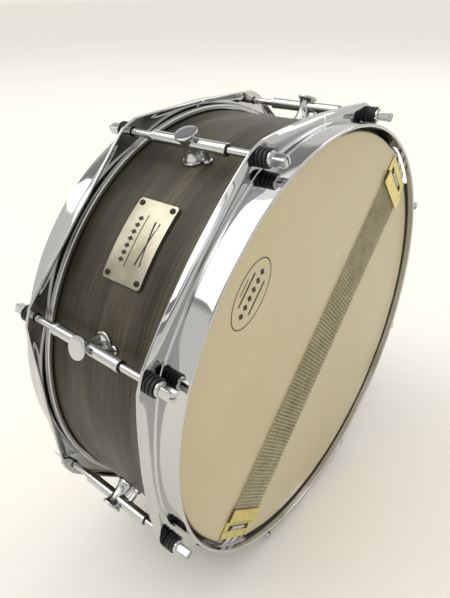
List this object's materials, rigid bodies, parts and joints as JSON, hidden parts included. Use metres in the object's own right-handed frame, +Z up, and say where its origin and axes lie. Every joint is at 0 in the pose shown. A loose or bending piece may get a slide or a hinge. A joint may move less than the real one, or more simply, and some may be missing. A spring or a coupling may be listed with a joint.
{
  "type": "snare drum",
  "caption": "Snare drum on its side: a stained wood shell with a head under a chrome hoop at each end, tube lugs, tension rods, snare wires and a throw-off lever.",
  "frame": {"origin": "on the surface the drum lies on, under the middle of the shell", "axes": "+X along the drum's axis towards the snare head, +Z up, +Y completes a right-handed frame"},
  "size_m": [0.154, 0.3744, 0.3745],
  "materials": {
    "stained_wood": "satin lacquer over grey-brown stain",
    "chrome": "polished",
    "aluminium": "satin",
    "snare_film": "thin hazy film",
    "batter_film": "coated",
    "black_nylon": "moulded",
    "badge_metal": "brushed and lacquered",
    "steel_wire": "bright wire",
    "brass": "bright",
    "strap_plastic": "clear milky film"
  },
  "bodies": {
    "root": {"shell": "stained_wood", "air_vent": "chrome", "snare_hoop": "chrome", "batter_hoop": "chrome", "lug_1": "chrome", "lug_2": "chrome", "lug_3": "chrome", "lug_4": "chrome", "lug_5": "chrome", "lug_6": "chrome", "lug_7": "chrome", "lug_8": "chrome", "strainer_base": "chrome", "butt_plate": "chrome", "snare_flesh_hoop": "aluminium", "batter_flesh_hoop": "aluminium", "snare_head_film": "snare_film", "batter_head_film": "batter_film", "snare_washer_1": "black_nylon", "snare_washer_2": "black_nylon", "snare_washer_3": "black_nylon", "snare_washer_4": "black_nylon", "snare_washer_5": "black_nylon", "snare_washer_6": "black_nylon", "snare_washer_7": "black_nylon", "snare_washer_8": "black_nylon", "batter_washer_1": "black_nylon", "batter_washer_2": "black_nylon", "batter_washer_3": "black_nylon", "batter_washer_4": "black_nylon", "batter_washer_5": "black_nylon", "batter_washer_6": "black_nylon", "batter_washer_7": "black_nylon", "batter_washer_8": "black_nylon", "badge_plate": "badge_metal"},
    "lever": {"strainer_lever": "chrome"},
    "slider": {"strainer_slider": "chrome", "strainer_clamp": "chrome"},
    "knob": {"strainer_knob": "chrome"},
    "snares": {"snare_wires": "steel_wire", "snare_end_plate_butt": "brass", "snare_end_plate_strainer": "brass", "snare_strap_butt": "strap_plastic", "snare_strap_strainer": "strap_plastic"},
    "snare_rod_1": {"snare_tension_rod_1": "chrome"},
    "snare_rod_2": {"snare_tension_rod_2": "chrome"},
    "snare_rod_3": {"snare_tension_rod_3": "chrome"},
    "snare_rod_4": {"snare_tension_rod_4": "chrome"},
    "snare_rod_5": {"snare_tension_rod_5": "chrome"},
    "snare_rod_6": {"snare_tension_rod_6": "chrome"},
    "snare_rod_7": {"snare_tension_rod_7": "chrome"},
    "snare_rod_8": {"snare_tension_rod_8": "chrome"},
    "batter_rod_1": {"batter_tension_rod_1": "chrome"},
    "batter_rod_2": {"batter_tension_rod_2": "chrome"},
    "batter_rod_3": {"batter_tension_rod_3": "chrome"},
    "batter_rod_4": {"batter_tension_rod_4": "chrome"},
    "batter_rod_5": {"batter_tension_rod_5": "chrome"},
    "batter_rod_6": {"batter_tension_rod_6": "chrome"},
    "batter_rod_7": {"batter_tension_rod_7": "chrome"},
    "batter_rod_8": {"batter_tension_rod_8": "chrome"}
  },
  "joints": [
    {"name": "lever_swing", "type": "hinge", "parent": "root", "child": "lever", "pos_m": [-0.004, 0.13704, 0.32428], "axis": [0, 0.7071, -0.7071], "range_deg": [0, 90]},
    {"name": "slider_travel", "type": "slide", "parent": "root", "child": "slider", "axis": [1, 0, 0], "range_m": [0, 0.0022]},
    {"name": "snares_travel", "type": "slide", "parent": "root", "child": "snares", "axis": [1, 0, 0], "range_m": [0, 0.0022]},
    {"name": "knob_turn", "type": "hinge", "parent": "slider", "child": "knob", "pos_m": [-0.02, 0.13103, 0.31827], "axis": [1, 0, 0], "continuous": true},
    {"name": "snare_rod_1_turn", "type": "hinge", "parent": "root", "child": "snare_rod_1", "pos_m": [0.06, -0.07271, 0.36278], "axis": [1, 0, 0], "continuous": true},
    {"name": "snare_rod_2_turn", "type": "hinge", "parent": "root", "child": "snare_rod_2", "pos_m": [0.06, -0.17554, 0.25995], "axis": [1, 0, 0], "continuous": true},
    {"name": "snare_rod_3_turn", "type": "hinge", "parent": "root", "child": "snare_rod_3", "pos_m": [0.06, -0.17554, 0.11453], "axis": [1, 0, 0], "continuous": true},
    {"name": "snare_rod_4_turn", "type": "hinge", "parent": "root", "child": "snare_rod_4", "pos_m": [0.06, -0.07271, 0.01171], "axis": [1, 0, 0], "continuous": true},
    {"name": "snare_rod_5_turn", "type": "hinge", "parent": "root", "child": "snare_rod_5", "pos_m": [0.06, 0.07271, 0.01171], "axis": [1, 0, 0], "continuous": true},
    {"name": "snare_rod_6_turn", "type": "hinge", "parent": "root", "child": "snare_rod_6", "pos_m": [0.06, 0.17554, 0.11453], "axis": [1, 0, 0], "continuous": true},
    {"name": "snare_rod_7_turn", "type": "hinge", "parent": "root", "child": "snare_rod_7", "pos_m": [0.06, 0.17554, 0.25995], "axis": [1, 0, 0], "continuous": true},
    {"name": "snare_rod_8_turn", "type": "hinge", "parent": "root", "child": "snare_rod_8", "pos_m": [0.06, 0.07271, 0.36278], "axis": [1, 0, 0], "continuous": true},
    {"name": "batter_rod_1_turn", "type": "hinge", "parent": "root", "child": "batter_rod_1", "pos_m": [-0.06, -0.07271, 0.36278], "axis": [1, 0, 0], "continuous": true},
    {"name": "batter_rod_2_turn", "type": "hinge", "parent": "root", "child": "batter_rod_2", "pos_m": [-0.06, -0.17554, 0.25995], "axis": [1, 0, 0], "continuous": true},
    {"name": "batter_rod_3_turn", "type": "hinge", "parent": "root", "child": "batter_rod_3", "pos_m": [-0.06, -0.17554, 0.11453], "axis": [1, 0, 0], "continuous": true},
    {"name": "batter_rod_4_turn", "type": "hinge", "parent": "root", "child": "batter_rod_4", "pos_m": [-0.06, -0.07271, 0.01171], "axis": [1, 0, 0], "continuous": true},
    {"name": "batter_rod_5_turn", "type": "hinge", "parent": "root", "child": "batter_rod_5", "pos_m": [-0.06, 0.07271, 0.01171], "axis": [1, 0, 0], "continuous": true},
    {"name": "batter_rod_6_turn", "type": "hinge", "parent": "root", "child": "batter_rod_6", "pos_m": [-0.06, 0.17554, 0.11453], "axis": [1, 0, 0], "continuous": true},
    {"name": "batter_rod_7_turn", "type": "hinge", "parent": "root", "child": "batter_rod_7", "pos_m": [-0.06, 0.17554, 0.25995], "axis": [1, 0, 0], "continuous": true},
    {"name": "batter_rod_8_turn", "type": "hinge", "parent": "root", "child": "batter_rod_8", "pos_m": [-0.06, 0.07271, 0.36278], "axis": [1, 0, 0], "continuous": true}
  ],
  "couplings": [
    {"joint": "slider_travel", "follows": "lever_swing", "m_per_rad": 0.0014},
    {"joint": "snares_travel", "follows": "lever_swing", "m_per_rad": 0.0014}
  ]
}
